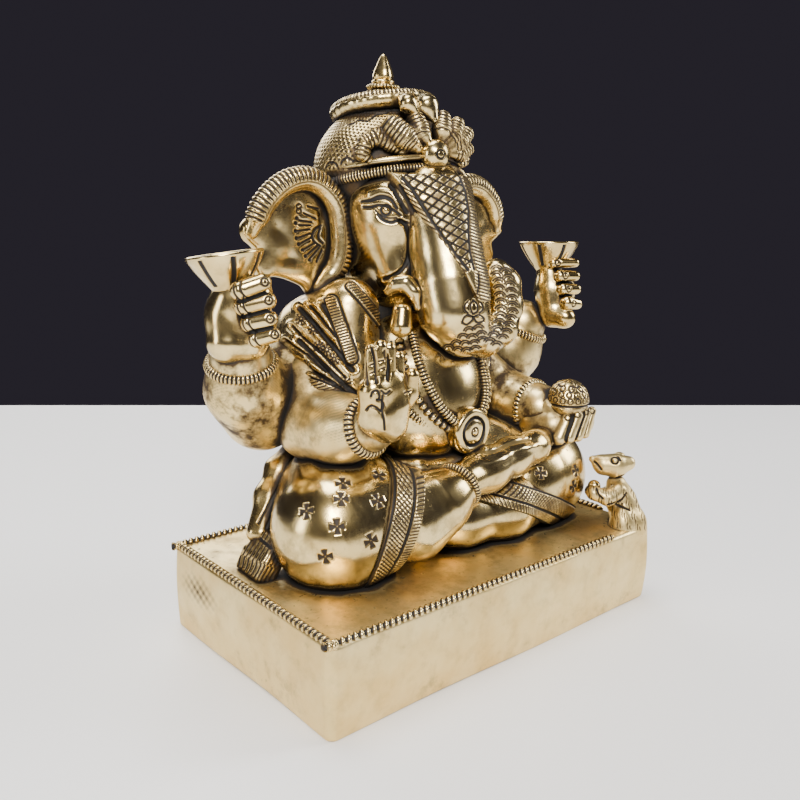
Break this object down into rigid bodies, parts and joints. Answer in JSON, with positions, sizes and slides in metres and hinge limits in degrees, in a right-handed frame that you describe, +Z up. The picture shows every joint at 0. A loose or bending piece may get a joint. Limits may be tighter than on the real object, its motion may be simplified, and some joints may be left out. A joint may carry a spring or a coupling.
{
  "type": "seated elephant-headed deity figurine",
  "caption": "Cast brass seated elephant-headed figure with raised palm, held sweet and flared cups on a beaded oblong plinth, with a small mouse at its corner.",
  "frame": {"origin": "middle of the plinth's underside", "axes": "+Z up towards the turban's finial, the figure faces -Y, and its right side is -X"},
  "size_m": [0.1322, 0.0716, 0.1536],
  "materials": {
    "satin_brass": "satin, hand filed, lightly pitted",
    "polished_brass": "buffed bright with dark patina in the recesses",
    "engraved_brass": "chased and stamped, black patina in the cuts, buffed on the high spots"
  },
  "bodies": {
    "root": {"plinth": "satin_brass", "beaded_border": "engraved_brass", "mouse_body": "engraved_brass", "mouse_head": "engraved_brass", "mouse_sweet": "engraved_brass", "right_thigh": "engraved_brass", "left_thigh": "engraved_brass", "right_shin": "polished_brass", "right_anklet": "engraved_brass", "right_foot": "polished_brass", "left_shin": "polished_brass", "right_hem_band": "engraved_brass", "left_hem_band": "engraved_brass", "dhoti_sash": "engraved_brass", "sash_tassel": "engraved_brass", "waistband": "engraved_brass", "torso": "polished_brass", "belly": "polished_brass", "right_shawl": "engraved_brass", "left_shawl": "engraved_brass", "garland_inner": "engraved_brass", "garland_beads": "engraved_brass", "garland_outer": "engraved_brass", "medallion": "polished_brass", "right_rear_arm": "polished_brass", "right_rear_bangle": "engraved_brass", "right_rear_hand": "polished_brass", "right_cup": "polished_brass", "left_rear_arm": "polished_brass", "left_rear_bangle": "engraved_brass", "left_rear_hand": "polished_brass", "left_cup": "polished_brass", "right_front_arm": "polished_brass", "right_front_bangle": "engraved_brass", "right_front_hand": "polished_brass", "left_front_arm": "polished_brass", "left_front_bangle": "engraved_brass", "left_front_hand": "polished_brass", "modak": "polished_brass", "head": "polished_brass", "trunk": "polished_brass", "forehead_panel": "engraved_brass", "right_tusk": "polished_brass", "left_tusk": "polished_brass", "right_ear": "polished_brass", "left_ear": "polished_brass", "right_ear_rim": "engraved_brass", "left_ear_rim": "engraved_brass", "turban": "engraved_brass", "turban_headband": "engraved_brass", "turban_fan": "engraved_brass", "turban_jewel": "polished_brass", "turban_roll": "engraved_brass", "turban_leaf": "engraved_brass", "turban_cap": "engraved_brass", "finial_ring": "engraved_brass", "finial": "polished_brass"}
  },
  "joints": []
}
